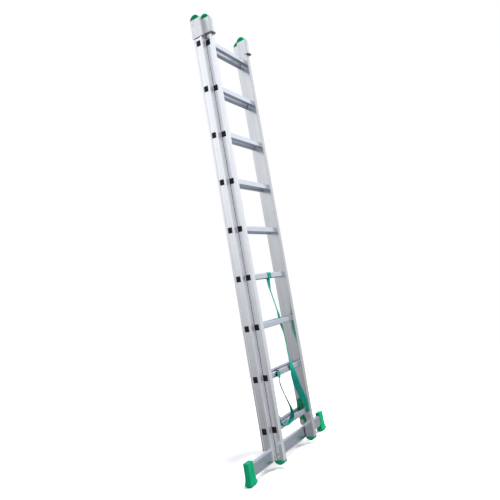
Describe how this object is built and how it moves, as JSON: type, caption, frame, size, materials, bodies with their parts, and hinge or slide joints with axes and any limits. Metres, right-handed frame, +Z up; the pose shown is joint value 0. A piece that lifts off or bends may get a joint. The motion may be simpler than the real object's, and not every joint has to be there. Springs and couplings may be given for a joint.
{
  "type": "extension ladder",
  "caption": "Two-section aluminium extension ladder with a stabiliser bar, sliding fly section, rung hooks and safety straps.",
  "frame": {"origin": "on the floor midway between the stabiliser bar's feet, under the middle of the ladder's depth", "axes": "+Z up along the stiles, +X along the rungs to the right as seen from the front, -Y out of the front, on the fly section's side"},
  "size_m": [0.924, 0.1271, 2.625],
  "materials": {
    "aluminium": "mill-finish extruded aluminium",
    "cast_aluminium": "satin pressed and cast aluminium",
    "green_plastic": "moulded green plastic with a fine grain",
    "black_plastic": "moulded black plastic",
    "webbing": "woven teal-green polyester webbing",
    "steel": "zinc-plated steel fasteners"
  },
  "bodies": {
    "base_section": {"bar_bolts": "steel", "bar_foot_left": "green_plastic", "bar_foot_right": "green_plastic", "bar_foot_rivets": "steel", "bar_nuts": "steel", "base_cap_left": "green_plastic", "base_cap_right": "green_plastic", "base_foot_block_left": "cast_aluminium", "base_foot_block_right": "cast_aluminium", "base_rung_1": "aluminium", "base_rung_2": "aluminium", "base_rung_3": "aluminium", "base_rung_4": "aluminium", "base_rung_5": "aluminium", "base_rung_6": "aluminium", "base_rung_7": "aluminium", "base_rung_8": "aluminium", "base_rung_9": "aluminium", "base_rung_plugs": "black_plastic", "base_stile_left": "aluminium", "base_stile_right": "aluminium", "base_stile_rivets": "steel", "guide_bracket_left": "cast_aluminium", "guide_bracket_right": "cast_aluminium", "guide_bracket_rivets": "steel", "stabiliser_bar": "aluminium"},
    "fly_section": {"fly_cap_left": "green_plastic", "fly_cap_right": "green_plastic", "fly_foot_left": "green_plastic", "fly_foot_right": "green_plastic", "fly_foot_rivets": "steel", "fly_rung_1": "aluminium", "fly_rung_2": "aluminium", "fly_rung_3": "aluminium", "fly_rung_4": "aluminium", "fly_rung_5": "aluminium", "fly_rung_6": "aluminium", "fly_rung_7": "aluminium", "fly_rung_8": "aluminium", "fly_rung_9": "aluminium", "fly_rung_plugs": "black_plastic", "fly_stile_left": "aluminium", "fly_stile_right": "aluminium", "latch_pins": "steel", "latch_springs": "steel", "rung_hook_left": "green_plastic", "rung_hook_right": "green_plastic", "rung_hook_rivets": "steel", "strap_anchor_left": "steel", "strap_anchor_right": "steel", "strap_anchor_rivets": "steel", "strap_keeper_left": "black_plastic", "strap_keeper_right": "black_plastic", "strap_left": "webbing", "strap_loop": "webbing", "strap_right": "webbing"},
    "latch_left": {"safety_latch_left": "green_plastic"},
    "latch_right": {"safety_latch_right": "green_plastic"}
  },
  "joints": [
    {"name": "fly_slide", "type": "slide", "parent": "base_section", "child": "fly_section", "axis": [0, 0, 1], "range_m": [0, 1.68]},
    {"name": "latch_left_hinge", "type": "hinge", "parent": "fly_section", "child": "latch_left", "pos_m": [-0.17, 0.0072, 0.145], "axis": [1, 0, 0], "range_deg": [0, 35], "stiffness_Nm_per_rad": 0.05, "springref_deg": -17.19},
    {"name": "latch_right_hinge", "type": "hinge", "parent": "fly_section", "child": "latch_right", "pos_m": [0.17, 0.0072, 0.145], "axis": [1, 0, 0], "range_deg": [0, 35], "stiffness_Nm_per_rad": 0.05, "springref_deg": -17.19}
  ]
}
